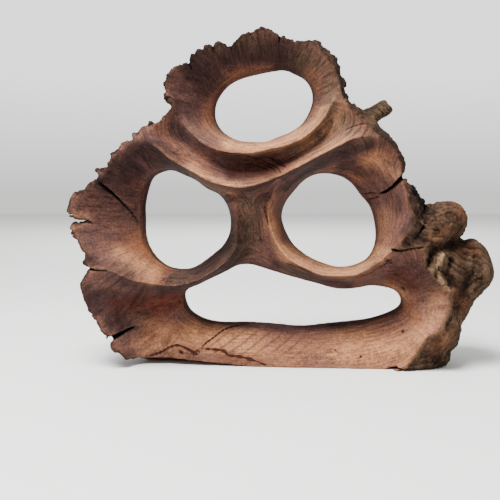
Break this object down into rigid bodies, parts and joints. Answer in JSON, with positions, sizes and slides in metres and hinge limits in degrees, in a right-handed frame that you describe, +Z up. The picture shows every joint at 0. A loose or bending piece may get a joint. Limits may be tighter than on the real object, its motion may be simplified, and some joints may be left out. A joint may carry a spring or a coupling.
{
  "type": "aquarium driftwood log",
  "caption": "Weathered root carved by nature into a standing hide: round holes and a low slot pass right through it, with dished, torn-edged wood in front and a burl on one side.",
  "frame": {"origin": "in the foot's flat face, near the middle of its length", "axes": "+X right along the length as seen from the front, +Y to the back, +Z up; the dished side with the torn edges faces -Y"},
  "size_m": [0.2982, 0.0752, 0.2361],
  "materials": {
    "root_wood": "weathered, sandblasted reddish root wood, matt",
    "bark_wood": "rough grey-brown bark, matt"
  },
  "bodies": {
    "root": {"crown_limb": "root_wood", "left_limb": "root_wood", "right_limb": "root_wood", "centre_limb": "root_wood", "base_limb": "root_wood", "branch_stub": "bark_wood"}
  },
  "joints": []
}
